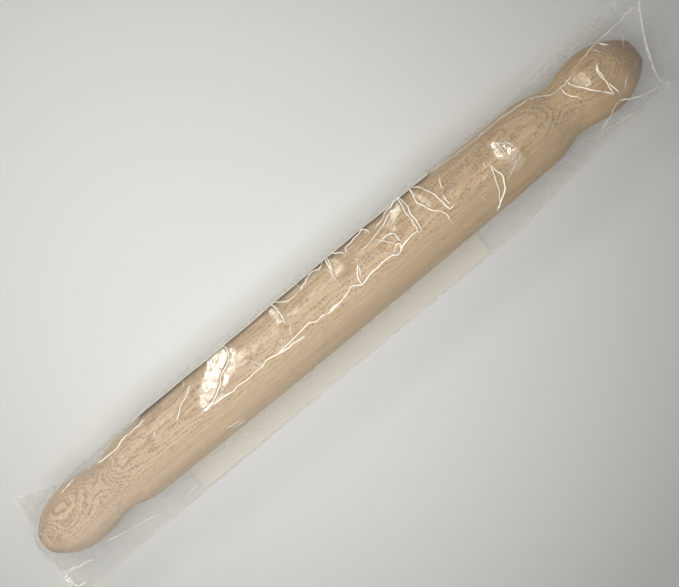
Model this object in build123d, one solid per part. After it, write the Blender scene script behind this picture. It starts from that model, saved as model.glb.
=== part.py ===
from build123d import *
from math import acos, asin, atan2, cos, degrees, hypot, radians, sin, sqrt, tan
import os

# One-piece wooden rolling pin with a ball knob turned on each end, in the clear bag and
# folded card that it is stored in. Lengths are millimetres. X runs along the pin towards the
# bag's open mouth, Z is up, and the origin is on the table under the middle of the pin.

# The pin, turned from one length of beech. Each drop is how far the tool cut below the barrel
pin_length = 400.0
barrel_diameter = 40.0
shoulder_drop = 1.3
shoulder_from_end = 66.0
shoulder_radius = 42.0
neck_drop = 5.4
neck_from_end = 46.0
neck_cove_radius = 22.0
knob_drop = 2.1
knob_from_end = 25.0
end_flat_diameter = 13.5

# The card, a flange flat on the table and a curl up the back of the pin
card_thickness = 0.4
card_width = 75.0
card_length = 200.0
card_flange = 33.0
card_centre_from_middle = 19.7

# The bag, a flat tube of clear film, welded across one end and open at the other
film_thickness = 0.2
fold_reach = 34.5
back_reach = 18.0

# The bag's welded end, drawn over the knob and down to the weld on the table
knob_allowance = 1.9
drape_start_from_end = 70.0
nose_round = 5.0
nose_reach_front = 39.0
nose_reach_back = 27.0
weld_from_end = 8.0
weld_width = 3.0
weld_crown = 0.3
weld_reach_front = 42.0
weld_reach_back = 31.0
weld_skew = 7.0
weld_wall = 1.0

# The bag's open end, slack round the other knob and cut on the skew by its rim
slack_start_from_end = 100.0
slack_from_end = 34.0
slack_fold_reach = 27.0
slack_back_reach = 25.0
mouth_past_end = 45.0
mouth_radius = 22.5
mouth_fold_reach = 25.0
mouth_back_reach = 27.0
rim_past_end = 21.0
rim_lean = 22.0
rim_skew = 26.0

# How the three pieces lie in each other
slide_clearance = 0.3
card_to_film = 0.1

# Worked out from the sizes above
half_length = pin_length / 2
pin_radius = barrel_diameter / 2
neck_radius = pin_radius - neck_drop
knob_radius = pin_radius - knob_drop
end_flat_radius = end_flat_diameter / 2
knob_x = half_length - knob_from_end
nose_drop = knob_radius - end_flat_radius
nose_arc_radius = (knob_from_end**2 + nose_drop**2) / (2 * nose_drop)
nose_arc_depth = nose_arc_radius - knob_radius
card_inner_radius = pin_radius + slide_clearance
card_outer_radius = card_inner_radius + card_thickness
film_radius = card_outer_radius + card_to_film + film_thickness
axis_height = film_radius


# Shares of the turn from the knob's widest place to the nose, and of the drape that is hollow
knob_shares = [0, 0.25, 0.5, 0.75, 1]
hollow_share = 0.5


def touch(centre, radius, other_centre):
    """Where a circle meets a tangent circle that lies round the other centre."""
    return centre + (other_centre - centre).normalized() * radius


def crossing(centre, reach, other_centre, other_reach):
    """The point at these distances from two centres, left of the line from one to the other."""
    line = other_centre - centre
    along = (line.length**2 + reach**2 - other_reach**2) / (2 * line.length)
    across = sqrt(reach**2 - along**2)
    unit = line.normalized()
    return centre + unit * along + Vector(-unit.Y, unit.X) * across


def half_outline():
    """The turned outline from the end of the barrel's bow to the middle of an end flat."""
    neck_x = half_length - neck_from_end
    shoulder_x = half_length - shoulder_from_end
    bow_radius = (shoulder_x**2 + shoulder_drop**2) / (2 * shoulder_drop)
    bow_centre = Vector(0, pin_radius - bow_radius)
    cove_centre = Vector(neck_x, neck_radius + neck_cove_radius)
    shoulder_centre = crossing(
        bow_centre,
        bow_radius - shoulder_radius,
        cove_centre,
        neck_cove_radius + shoulder_radius,
    )
    knob_rise = knob_radius - neck_radius
    knob_run = knob_x - neck_x
    flank_radius = (knob_run**2 + knob_rise**2) / (2 * knob_rise) - neck_cove_radius
    flank_centre = Vector(knob_x, knob_radius - flank_radius)
    bow_end = touch(bow_centre, bow_radius, shoulder_centre)
    shoulder_end = touch(shoulder_centre, shoulder_radius, cove_centre)
    cove_end = touch(cove_centre, neck_cove_radius, flank_centre)
    knob_top = Vector(knob_x, knob_radius)
    flat_edge = Vector(half_length, end_flat_radius)
    edges = [
        RadiusArc(bow_end, shoulder_end, shoulder_radius),
        RadiusArc(shoulder_end, cove_end, -neck_cove_radius),
        RadiusArc(cove_end, knob_top, flank_radius),
        RadiusArc(knob_top, flat_edge, nose_arc_radius),
        Line(flat_edge, (half_length, 0)),
    ]
    return bow_end, edges


def rolling_pin():
    """One turned solid: a slightly bowed barrel, then a coved neck and a ball knob each end."""
    bow_end, half = half_outline()
    other_half = [mirror(edge, about=Plane.YZ) for edge in half]
    bow = ThreePointArc((-bow_end.X, bow_end.Y), (0, pin_radius), bow_end)
    centre_line = Line((-half_length, 0), (half_length, 0))
    face = make_face([*half, *other_half, bow, centre_line])
    return Pos(0, 0, axis_height) * revolve(face, Axis.X)


def card_insert():
    """A strip of card: its flange lies under the bag's fold and it curls up behind the pin."""
    middle_radius = (card_inner_radius + card_outer_radius) / 2
    curl = degrees((card_width - card_flange) / middle_radius)
    upper = axis_height - card_inner_radius
    lower = axis_height - card_outer_radius
    inner = CenterArc((0, axis_height), card_inner_radius, -90, curl)
    outer = CenterArc((0, axis_height), card_outer_radius, -90, curl)
    section = make_face(
        [
            inner,
            Line(inner @ 1, outer @ 1),
            outer,
            Line(outer @ 0, (-card_flange, lower)),
            Line((-card_flange, lower), (-card_flange, upper)),
            Line((-card_flange, upper), inner @ 0),
        ]
    )
    start = -card_centre_from_middle - card_length / 2
    return extrude(Plane.YZ.offset(start) * section, card_length)


def film_section(x, radius, height, front, back, inset=0, turn=0):
    """A cross-section of the bag: film drawn over a round and down to a crease on each side.

    The outer face has no inset. The inner face lies inset inside it, and so does its floor.
    """
    crease = 2 * film_thickness
    front_y = inset * 2 - front
    back_y = back - inset * 2
    rise = height - crease
    round_radius = radius - inset
    front_lean = atan2(rise, -front_y) + asin(round_radius / hypot(rise, front_y))
    back_lean = atan2(rise, back_y) + asin(round_radius / hypot(rise, back_y))
    over = CenterArc(
        (0, height), round_radius, 90 - degrees(back_lean), degrees(front_lean + back_lean)
    )
    outline = make_face(
        [
            Line((front_y, inset), (back_y, inset)),
            Line((back_y, inset), (back_y, crease)),
            Line((back_y, crease), over @ 0),
            over,
            Line(over @ 1, (front_y, crease)),
            Line((front_y, crease), (front_y, inset)),
        ]
    )
    across = Vector(sin(radians(turn)), cos(radians(turn)), 0)
    along = Vector(cos(radians(turn)), -sin(radians(turn)), 0)
    return Plane((x, 0, 0), x_dir=across, z_dir=along) * outline


def between(low, high, share):
    """The value at that share of the way from low to high."""
    return low + (high - low) * share


def straight_section(x, inset):
    """The section that the bag keeps along the barrel and card."""
    return film_section(x, film_radius, axis_height, fold_reach, back_reach, inset)


def nose_place(share, inset):
    """Where the film has turned by that share over the knob's nose, and its round there."""
    outer_arc = nose_arc_radius + knob_allowance
    turn = acos((nose_round + nose_arc_depth) / outer_arc) * share
    return -knob_x - (outer_arc - inset) * sin(turn), outer_arc * cos(turn) - nose_arc_depth


def knob_sections(inset):
    """Sections that follow the knob's round from its widest place to the nose of the film."""
    sections = []
    for share in knob_shares:
        x, radius = nose_place(share, inset)
        sections.append(
            film_section(
                x,
                radius,
                axis_height,
                between(fold_reach, nose_reach_front, share),
                between(back_reach, nose_reach_back, share),
                inset,
                weld_skew * share,
            )
        )
    return sections


def weld_section(share, wall, inset):
    """A section that share of the way from the nose down to the weld, a wall inside it."""
    nose_x, nose_radius = nose_place(1, 0)
    weld_height = weld_crown + film_thickness
    return film_section(
        between(nose_x, -half_length - weld_from_end, share) + wall / 2,
        between(nose_radius, weld_crown, share) - wall / 2,
        between(axis_height, weld_height, share) - wall / 2,
        between(nose_reach_front, weld_reach_front, share) - wall,
        between(nose_reach_back, weld_reach_back, share) - wall,
        inset,
        weld_skew,
    )


def welded_end(inset):
    """The bag's closed end: solid outside, and hollow to part of the way down to the weld."""
    start = straight_section(drape_start_from_end - half_length, inset)
    if inset:
        bottom = weld_section(hollow_share, weld_wall, inset)
        return loft([start, *knob_sections(inset), bottom], ruled=True)
    weld = weld_section(1, 0, 0)
    drape = loft([start, *knob_sections(0), weld], ruled=True)
    return drape + extrude(weld, -weld_width)


def open_end(inset):
    """The bag's other end, which narrows past the card and runs on beyond its rim."""
    sections = [
        straight_section(half_length - slack_start_from_end, inset),
        film_section(
            half_length - slack_from_end,
            film_radius,
            axis_height,
            slack_fold_reach,
            slack_back_reach,
            inset,
        ),
        film_section(
            half_length + mouth_past_end,
            mouth_radius,
            axis_height,
            mouth_fold_reach,
            mouth_back_reach,
            inset,
        ),
    ]
    return loft(sections, ruled=True)


def film_tube(inset):
    """The whole bag as a solid, at its outer face or that far inside it."""
    start = drape_start_from_end - half_length
    finish = half_length - slack_start_from_end
    middle = extrude(straight_section(start, inset), finish - start)
    return welded_end(inset) + middle + open_end(inset)


def film_bag():
    """The bag: a thin tube round the pin and card, cut on the skew at its open rim."""
    tube = film_tube(0) - film_tube(film_thickness)
    outward = Vector(1, -tan(radians(rim_skew)), tan(radians(rim_lean)))
    rim = Plane((half_length + rim_past_end, 0, 0), z_dir=outward)
    return split(tube, bisect_by=rim, keep=Keep.BOTTOM)


parts = {
    "rolling_pin": rolling_pin(),
    "card_insert": card_insert(),
    "film_bag": film_bag(),
}
os.makedirs("parts", exist_ok=True)
for name, shape in parts.items():
    shape.label = name
    export_step(shape, f"parts/{name}.step")
print("bag lies flat at", round(straight_section(0, 0).wires()[0].length / 2, 1), "mm wide")
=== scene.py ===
from collections import Counter
from math import cos, radians, sin

import bpy
import numpy as np
from mathutils import Matrix, Vector, geometry


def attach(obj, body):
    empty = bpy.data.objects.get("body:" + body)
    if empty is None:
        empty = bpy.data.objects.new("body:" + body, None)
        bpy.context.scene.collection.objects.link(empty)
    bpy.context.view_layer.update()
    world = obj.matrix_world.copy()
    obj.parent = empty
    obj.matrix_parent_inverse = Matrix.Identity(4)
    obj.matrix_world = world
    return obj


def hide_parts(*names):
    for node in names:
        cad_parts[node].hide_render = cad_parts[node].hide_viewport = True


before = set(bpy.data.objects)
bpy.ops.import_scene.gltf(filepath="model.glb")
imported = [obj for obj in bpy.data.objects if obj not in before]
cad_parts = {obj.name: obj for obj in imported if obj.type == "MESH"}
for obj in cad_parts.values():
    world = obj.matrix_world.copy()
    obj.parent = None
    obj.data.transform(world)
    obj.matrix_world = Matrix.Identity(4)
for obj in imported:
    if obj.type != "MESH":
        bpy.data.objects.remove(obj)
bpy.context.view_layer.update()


# The pin: one length of steamed beech, turned and sanded, with no finish on it. Its growth
# rings lie round a pith below and in front of the pin, so the upper back shows tongues and
# short ray flecks, and the front shows straight stripes.
#
# Lengths here are millimetres. A pair of scales is along the grain, then across it. A span is
# where a change starts and where it is complete. A shade is how much a noise changes the tone,
# and the tone where the noise is 0.
MM = 0.001
PIN_AXIS_HEIGHT = 21.0
PITH_TURN = radians(22)
PITH_DEPTH = 62.0
PITH_SLOPE = 0.012
RING_WIDTH = 1.0
RING_WANDER = 7.0
RING_RIPPLE = 1.3
WANDER_SCALES = (0.02, 0.05)
RIPPLE_SCALES = (0.07, 0.3)
FIBRE_SCALES = (0.16, 1.9)
FIBRE_SHADE = (0.4, 0.8)
BAND_SCALES = (0.008, 0.36)
BAND_SHADE = (0.46, 0.77)
CLOUD_SCALE = 1.9
RING_TONES = [
    # place across a ring, from its early wood to its late wood, and the colour there
    (0.0, (228, 201, 167)),
    (0.45, (223, 195, 161)),
    (0.75, (210, 180, 144)),
    (0.9, (203, 171, 134)),
    (1.0, (226, 199, 165)),
]
STRIPED_TONE = (220, 191, 155)
STRIPED_SPAN = (8.0, 14.0)
STRIPED_SHARE = 0.62
CLOUD_TONE = (222, 184, 150)
CLOUD_SHARE = 0.35
FLECK_TONE = (136, 98, 68)
FLECK_ROWS = [
    # scale along, scale across, size, and the share of places that have none
    (0.5, 1.4, 0.42, 0.42),
    (1.05, 0.9, 0.3, 0.55),
]
FLECK_EASE = 0.15
FLECKED_SPAN = (8.0, 15.0)
FLECKED_SHARES = (0.75, 0.12)
LATE_WOOD_SPAN = (0.3, 0.6)
LATE_WOOD_SHARES = (0.4, 1.0)
WHOLE_TINT = (0.935, 0.955, 0.9)
# Painted shade: the pin darkens towards the mouth's end, where the light falls off.
OPEN_END_SHADE_SPAN = (20.0, 195.0)
OPEN_END_PAINTED_SHADE = (0.77, 0.68, 0.52)
# Painted light: the pin is paler towards the weld's end, where the light falls brightest, and most
# of all on its striped sides.
WELD_END_LIGHT_SPAN = (-20.0, -150.0)
WELD_END_PAINTED_LIGHT = (0.97, 0.975, 1.09)
WELD_END_SIDE_PAINTED_LIGHT = (1.1, 1.15, 1.3)
# Painted shade: the knob's tip at the mouth is darker still, as an end turned from the light.
TIP_SHADE_SPAN = (185.0, 198.0)
TIP_PAINTED_SHADE = (0.52, 0.43, 0.34)
GRAIN_RELIEF = 0.6
BEECH_ROUGHNESS = 0.62
BEECH_SPECULAR = 0.3


def new_material(name):
    """A material with its node tree emptied but for the output, and a way to add nodes."""
    material = bpy.data.materials.new(name)
    material.use_nodes = True
    tree = material.node_tree
    tree.nodes.clear()
    output = tree.nodes.new("ShaderNodeOutputMaterial")
    return material, tree, output


def node(tree, kind, inputs=(), **settings):
    """Adds a node, sets its properties, and joins or sets its inputs."""
    made = tree.nodes.new(kind)
    for key, value in settings.items():
        setattr(made, key, value)
    for slot, value in dict(inputs).items():
        if isinstance(value, bpy.types.NodeSocket):
            tree.links.new(value, made.inputs[slot])
        else:
            made.inputs[slot].default_value = value
    return made


def maths(tree, operation, *values, clamp=False):
    """The result of one Math node."""
    inputs = dict(enumerate(values))
    return node(tree, "ShaderNodeMath", inputs, operation=operation, use_clamp=clamp).outputs[0]


def noise(tree, place, scale, detail):
    """The value of a noise texture."""
    inputs = {"Vector": place, "Scale": scale, "Detail": detail}
    return node(tree, "ShaderNodeTexNoise", inputs).outputs[0]


def eased(tree, value, span, ends=(0.0, 1.0), **settings):
    """A value's way along a span, as the same way from one end value to the other."""
    inputs = {0: value, 1: span[0], 2: span[1], 3: ends[0], 4: ends[1]}
    return node(tree, "ShaderNodeMapRange", inputs, **settings).outputs[0]


def ramp(tree, factor, stops):
    """A colour ramp's colour, from stops of a place and a display colour."""
    made = node(tree, "ShaderNodeValToRGB", {0: factor})
    elements = made.color_ramp.elements
    while len(elements) < len(stops):
        elements.new(0.5)
    for element, (place, colour) in zip(elements, stops):
        element.position = place
        element.color = (*linear(colour), 1)
    return made.outputs[0]


def linear(display_colour):
    """A display colour of 0 to 255 as the linear colour that nodes take."""
    parts = []
    for value in display_colour:
        share = value / 255
        parts.append(share / 12.92 if share <= 0.04045 else ((share + 0.055) / 1.055) ** 2.4)
    return tuple(parts)


def mix_colour(tree, factor, first, second, blend="MIX"):
    """The colour result of a Mix node."""
    made = node(tree, "ShaderNodeMix", data_type="RGBA", blend_type=blend)
    for slot, value in ((0, factor), (6, first), (7, second)):
        if isinstance(value, bpy.types.NodeSocket):
            tree.links.new(value, made.inputs[slot])
        else:
            made.inputs[slot].default_value = value if slot == 0 else (*value, 1)
    return made.outputs[2]


def tinted(tree, share, tone, tint):
    """The tone multiplied by that share of a tint."""
    return mix_colour(tree, share, tone, tint, blend="MULTIPLY")


def grain_directions(tree):
    """Millimetres along the pin, across the grain, and outward from the pith."""
    place = node(tree, "ShaderNodeTexCoord").outputs["Object"]
    in_mm = node(
        tree, "ShaderNodeVectorMath", {0: place, 1: (1 / MM,) * 3}, operation="MULTIPLY"
    ).outputs[0]
    x, y, z = node(tree, "ShaderNodeSeparateXYZ", {0: in_mm}).outputs
    height = maths(tree, "SUBTRACT", z, PIN_AXIS_HEIGHT)
    across = maths(
        tree,
        "SUBTRACT",
        maths(tree, "MULTIPLY", y, cos(PITH_TURN)),
        maths(tree, "MULTIPLY", height, sin(PITH_TURN)),
    )
    outward = maths(
        tree,
        "ADD",
        maths(tree, "MULTIPLY", y, sin(PITH_TURN)),
        maths(tree, "MULTIPLY", height, cos(PITH_TURN)),
    )
    return x, across, outward


def grain_noise(tree, directions, scales, detail, scale=1.0):
    """Noise drawn out along the grain."""
    x, across, outward = directions
    place = node(
        tree,
        "ShaderNodeCombineXYZ",
        {
            0: maths(tree, "MULTIPLY", x, scales[0]),
            1: maths(tree, "MULTIPLY", across, scales[1]),
            2: maths(tree, "MULTIPLY", outward, scales[1]),
        },
    ).outputs[0]
    return noise(tree, place, scale, detail)


def ring_place(tree, directions):
    """How far across its growth ring each place is."""
    x, across, outward = directions
    depth = maths(tree, "ADD", outward, PITH_DEPTH)
    depth = maths(tree, "ADD", depth, maths(tree, "MULTIPLY", x, PITH_SLOPE))
    radius = maths(
        tree,
        "SQRT",
        maths(tree, "ADD", maths(tree, "POWER", depth, 2.0), maths(tree, "POWER", across, 2.0)),
    )
    wander = grain_noise(tree, directions, WANDER_SCALES, 2.0)
    ripple = grain_noise(tree, directions, RIPPLE_SCALES, 2.0)
    radius = maths(tree, "ADD", radius, maths(tree, "MULTIPLY", wander, RING_WANDER))
    radius = maths(tree, "ADD", radius, maths(tree, "MULTIPLY", ripple, RING_RIPPLE))
    return maths(tree, "FRACT", maths(tree, "DIVIDE", radius, RING_WIDTH))


def ray_flecks(tree, directions, ring):
    """Where short dark flecks show: on the tongues, and most of all in late wood."""
    x, across, _ = directions
    rows = []
    for along_scale, across_scale, size, none_share in FLECK_ROWS:
        place = node(
            tree,
            "ShaderNodeCombineXYZ",
            {
                0: maths(tree, "MULTIPLY", x, along_scale),
                1: maths(tree, "MULTIPLY", across, across_scale),
            },
        ).outputs[0]
        cell = node(
            tree,
            "ShaderNodeTexVoronoi",
            {"Vector": place, "Scale": 1.0, "Randomness": 1.0},
            voronoi_dimensions="2D",
        )
        mark = eased(
            tree,
            cell.outputs["Distance"],
            (size * 0.55, size),
            (1.0, 0.0),
            interpolation_type="SMOOTHSTEP",
        )
        draw = node(tree, "ShaderNodeSeparateColor", {0: cell.outputs["Color"]}).outputs[0]
        chosen = eased(tree, draw, (none_share, none_share + FLECK_EASE))
        rows.append(maths(tree, "MULTIPLY", mark, chosen))
    flecks = maths(tree, "MAXIMUM", *rows)
    flecked = eased(tree, maths(tree, "ABSOLUTE", across), FLECKED_SPAN, FLECKED_SHARES)
    late = eased(tree, ring, LATE_WOOD_SPAN, LATE_WOOD_SHARES)
    return maths(tree, "MULTIPLY", maths(tree, "MULTIPLY", flecks, flecked), late)


def beech():
    """Bare beech: rings, tongues, ray flecks, fibres and bands, with painted shade darker towards
    the mouth's end and its tip, and painted light paler towards the weld's end.
    """
    material, tree, output = new_material("beech")
    directions = grain_directions(tree)
    x, across, _ = directions
    ring = ring_place(tree, directions)
    striped = eased(tree, maths(tree, "ABSOLUTE", across), STRIPED_SPAN, (0.0, STRIPED_SHARE))
    tone = mix_colour(tree, striped, ramp(tree, ring, RING_TONES), linear(STRIPED_TONE))
    cloud = grain_noise(tree, directions, WANDER_SCALES, 1.0, scale=CLOUD_SCALE)
    cloud = maths(tree, "MULTIPLY", cloud, CLOUD_SHARE)
    tone = mix_colour(tree, cloud, tone, linear(CLOUD_TONE))
    fibre = grain_noise(tree, directions, FIBRE_SCALES, 3.0)
    band = grain_noise(tree, directions, BAND_SCALES, 2.0)
    shade = maths(
        tree,
        "MULTIPLY",
        maths(tree, "MULTIPLY_ADD", fibre, *FIBRE_SHADE),
        maths(tree, "MULTIPLY_ADD", band, *BAND_SHADE),
    )
    tone = tinted(tree, 1.0, tone, shade)
    flecks = ray_flecks(tree, directions, ring)
    tone = mix_colour(tree, flecks, tone, linear(FLECK_TONE))
    tone = tinted(tree, 1.0, tone, WHOLE_TINT)
    # Painted shade: darker towards the mouth's end.
    tone = tinted(tree, eased(tree, x, OPEN_END_SHADE_SPAN), tone, OPEN_END_PAINTED_SHADE)
    # Painted light: paler towards the weld's end, most of all on the striped sides.
    weld_end_painted_light = mix_colour(tree, striped, WELD_END_PAINTED_LIGHT, WELD_END_SIDE_PAINTED_LIGHT)
    tone = tinted(tree, eased(tree, x, WELD_END_LIGHT_SPAN), tone, weld_end_painted_light)
    # Painted shade: darker still at the knob's tip at the mouth.
    tone = tinted(tree, eased(tree, x, TIP_SHADE_SPAN), tone, TIP_PAINTED_SHADE)
    grain = maths(
        tree,
        "ADD",
        maths(tree, "MULTIPLY", fibre, GRAIN_RELIEF),
        maths(tree, "MULTIPLY", flecks, -GRAIN_RELIEF),
    )
    bump = node(tree, "ShaderNodeBump", {"Strength": 0.25, "Distance": 0.0002, "Height": grain})
    surface = node(
        tree,
        "ShaderNodeBsdfPrincipled",
        {
            "Base Color": tone,
            "Roughness": BEECH_ROUGHNESS,
            "Specular IOR Level": BEECH_SPECULAR,
            "Normal": bump.outputs[0],
        },
    )
    tree.links.new(surface.outputs[0], output.inputs[0])
    return material


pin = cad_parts["rolling_pin"]
pin.data.materials.clear()
pin.data.materials.append(beech())


# The card: a strip of thin off-white board, blank and without a crease. It is curled up the
# back of the pin, and its other long edge lies flat on the table, held there by the bag.
#
# Sizes here are metres, as the strip's tree takes them. Waves are radians a metre.
CARD_LENGTH = 0.2
CARD_CENTRE = -0.0197
CARD_WIDTH = 0.075
CARD_FLANGE = 0.033
CARD_THICK = 0.0004
CARD_RADIUS = 0.0205
CARD_FLARE = 0.0019
CARD_FLARE_FROM = 0.024
CARD_LIFT = 0.00025
CARD_LONG_WAVE = 50.0
CARD_SHORT_WAVE = 210.0
CARD_ROWS = 81
CARD_COLUMNS = 76
CARD_MERGE = 0.00001
BOARD_TONES = ((231, 227, 215), (239, 236, 226))
BOARD_CLOUD_SCALE = 45.0
BOARD_FIBRE_SCALE = 900.0
BOARD_FIBRE_SHADE = (0.08, 0.96)
BOARD_ROUGHNESS = 0.8


def board():
    """Uncoated board: faint fibres and a slow unevenness in tone."""
    material, tree, output = new_material("board")
    place = node(tree, "ShaderNodeTexCoord").outputs["Object"]
    cloud = noise(tree, place, BOARD_CLOUD_SCALE, 3.0)
    fibres = noise(tree, place, BOARD_FIBRE_SCALE, 2.0)
    tone = mix_colour(tree, cloud, *(linear(colour) for colour in BOARD_TONES))
    tone = tinted(tree, 1.0, tone, maths(tree, "MULTIPLY_ADD", fibres, *BOARD_FIBRE_SHADE))
    bump = node(tree, "ShaderNodeBump", {"Strength": 0.15, "Distance": 0.0001, "Height": fibres})
    surface = node(
        tree,
        "ShaderNodeBsdfPrincipled",
        {"Base Color": tone, "Roughness": BOARD_ROUGHNESS, "Normal": bump.outputs[0]},
    )
    tree.links.new(surface.outputs[0], output.inputs[0])
    return material


def curl_places(tree, given):
    """Where the flat strip's points go: a flange, a curl, and a free edge that stands off."""
    flat = node(
        tree, "ShaderNodeSeparateXYZ", {0: node(tree, "GeometryNodeInputPosition").outputs[0]}
    )
    x = maths(tree, "ADD", flat.outputs[0], given["Centre"])
    run = maths(tree, "ADD", flat.outputs[1], maths(tree, "MULTIPLY", given["Width"], 0.5))
    curl = maths(tree, "MAXIMUM", maths(tree, "SUBTRACT", run, given["Flange"]), 0.0)
    curl_length = maths(tree, "SUBTRACT", given["Width"], given["Flange"])
    flare_run = maths(tree, "MAXIMUM", maths(tree, "SUBTRACT", curl, given["Flare From"]), 0.0)
    flare_share = maths(
        tree, "DIVIDE", flare_run, maths(tree, "SUBTRACT", curl_length, given["Flare From"])
    )
    long_wave = maths(tree, "SINE", maths(tree, "MULTIPLY_ADD", x, given["Long Wave"], 1.0))
    short_wave = maths(tree, "SINE", maths(tree, "MULTIPLY", x, given["Short Wave"]))
    wave = maths(tree, "MULTIPLY_ADD", long_wave, 0.15, 0.85)
    wave = maths(tree, "MULTIPLY_ADD", short_wave, 0.06, wave)
    flare = maths(tree, "MULTIPLY", maths(tree, "POWER", flare_share, 2.0), wave)
    radius = maths(tree, "MULTIPLY_ADD", given["Thickness"], 0.5, given["Radius"])
    radius = maths(tree, "MULTIPLY_ADD", flare, given["Flare"], radius)
    angle = maths(tree, "DIVIDE", curl, given["Radius"])
    on_flange = maths(
        tree, "SUBTRACT", maths(tree, "MINIMUM", run, given["Flange"]), given["Flange"]
    )
    y = maths(tree, "MULTIPLY_ADD", radius, maths(tree, "SINE", angle), on_flange)
    edge_share = maths(tree, "DIVIDE", on_flange, maths(tree, "MULTIPLY", given["Flange"], -1.0))
    ripple = maths(tree, "SINE", maths(tree, "MULTIPLY", x, given["Long Wave"]))
    ripple = maths(tree, "MULTIPLY_ADD", ripple, 0.5, 0.5)
    lift = maths(tree, "MULTIPLY", edge_share, ripple)
    lift = maths(tree, "MULTIPLY", lift, given["Flange Lift"])
    drop = maths(tree, "MULTIPLY", radius, maths(tree, "COSINE", angle))
    z = maths(tree, "ADD", maths(tree, "SUBTRACT", given["Axis Height"], drop), lift)
    return node(tree, "ShaderNodeCombineXYZ", {0: x, 1: y, 2: z}).outputs[0]


def card_form(material):
    """Geometry nodes that cut the strip, curl it, and give it its thickness."""
    tree = bpy.data.node_groups.new("card_form", "GeometryNodeTree")
    sizes = {
        "Length": CARD_LENGTH,
        "Centre": CARD_CENTRE,
        "Width": CARD_WIDTH,
        "Flange": CARD_FLANGE,
        "Thickness": CARD_THICK,
        "Radius": CARD_RADIUS,
        "Flare": CARD_FLARE,
        "Flare From": CARD_FLARE_FROM,
        "Flange Lift": CARD_LIFT,
        "Long Wave": CARD_LONG_WAVE,
        "Short Wave": CARD_SHORT_WAVE,
        "Axis Height": PIN_AXIS_HEIGHT * MM,
    }
    for name in sizes:
        tree.interface.new_socket(name, in_out="INPUT", socket_type="NodeSocketFloat")
    tree.interface.new_socket("Card", in_out="OUTPUT", socket_type="NodeSocketGeometry")
    given = node(tree, "NodeGroupInput").outputs
    strip = node(
        tree,
        "GeometryNodeMeshGrid",
        {0: given["Length"], 1: given["Width"], 2: CARD_ROWS, 3: CARD_COLUMNS},
    ).outputs[0]
    outer = node(
        tree,
        "GeometryNodeSetPosition",
        {"Geometry": strip, "Position": curl_places(tree, given)},
    ).outputs[0]
    inner = node(
        tree,
        "GeometryNodeExtrudeMesh",
        {"Mesh": outer, "Offset Scale": given["Thickness"], "Individual": False},
        mode="FACES",
    ).outputs[0]
    both = node(tree, "GeometryNodeJoinGeometry")
    tree.links.new(node(tree, "GeometryNodeFlipFaces", {0: outer}).outputs[0], both.inputs[0])
    tree.links.new(inner, both.inputs[0])
    closed = node(
        tree, "GeometryNodeMergeByDistance", {"Geometry": both.outputs[0], "Distance": CARD_MERGE}
    )
    real = node(tree, "GeometryNodeRealizeInstances", {0: closed.outputs[0]})
    finished = node(
        tree, "GeometryNodeSetMaterial", {"Geometry": real.outputs[0], "Material": material}
    )
    tree.links.new(finished.outputs[0], node(tree, "NodeGroupOutput").inputs[0])
    return tree, sizes


card_tree, card_sizes = card_form(board())
card_blank = bpy.data.objects.new("card_blank", bpy.data.meshes.new("card_blank"))
bpy.context.scene.collection.objects.link(card_blank)
forming = card_blank.modifiers.new("form", "NODES")
forming.node_group = card_tree
for socket in card_tree.interface.items_tree:
    if socket.in_out == "INPUT":
        forming[socket.identifier] = card_sizes[socket.name]
formed = card_blank.evaluated_get(bpy.context.evaluated_depsgraph_get())
card_data = bpy.data.meshes.new_from_object(formed)
card_data.name = "card_strip"
card_data.polygons.foreach_set("use_smooth", [False] * len(card_data.polygons))
card_strip = bpy.data.objects.new("card_strip", card_data)
bpy.context.scene.collection.objects.link(card_strip)
bpy.data.objects.remove(card_blank)
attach(card_strip, "wrapper")
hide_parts("card_insert")


# The bag: a flat tube of thin clear film, welded across one end and open at the other. It was
# pulled over the pin and card by hand, so it is tight over the barrel, creased where it was
# gripped, gathered over the knob at the weld, and slack round the knob at the mouth.
#
# Places on it are given on the tube laid flat: millimetres along from the middle of the pin,
# and millimetres round from the line over the pin's top, towards the card's curled edge. A
# stretch is its two ends, and how far it eases in at each of them.
HALF_ROUND = 55.0
WELD_EDGE = -211.0
WELD_INSIDE = -208.0
FILM_RADIUS = 21.0
BAG_FORM = [
    # place along the pin, radius over the top, height of its centre, reach each side, turn
    (WELD_EDGE, 0.5, 0.6, 42.0, 31.0, 7.0),
    (WELD_INSIDE, 0.5, 0.6, 42.0, 31.0, 7.0),
    (-203.85, 5.0, PIN_AXIS_HEIGHT, 39.0, 27.0, 7.0),
    (-197.94, 10.07, PIN_AXIS_HEIGHT, 37.9, 24.75, 5.25),
    (-190.97, 14.17, PIN_AXIS_HEIGHT, 36.75, 22.5, 3.5),
    (-183.19, 17.87, PIN_AXIS_HEIGHT, 35.6, 20.25, 1.75),
    (-175.0, 19.8, PIN_AXIS_HEIGHT, 34.5, 18.0, 0.0),
    (-130.0, FILM_RADIUS, PIN_AXIS_HEIGHT, 34.5, 18.0, 0.0),
    (100.0, FILM_RADIUS, PIN_AXIS_HEIGHT, 34.5, 18.0, 0.0),
    (166.0, FILM_RADIUS, PIN_AXIS_HEIGHT, 27.0, 25.0, 0.0),
    (245.0, 22.5, PIN_AXIS_HEIGHT, 25.0, 27.0, 0.0),
]
FORM_BLUR = (-5.0, -2.5, 0.0, 2.5, 5.0)
FORM_EASE = 10.0
FILM_LIFT = 0.15
RIM_PLACE = 221.0
RIM_PAST = 14.0
RIM_SKEW = 0.488
RIM_LEAN = 0.404
RIM_ROUNDS = 12
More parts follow.
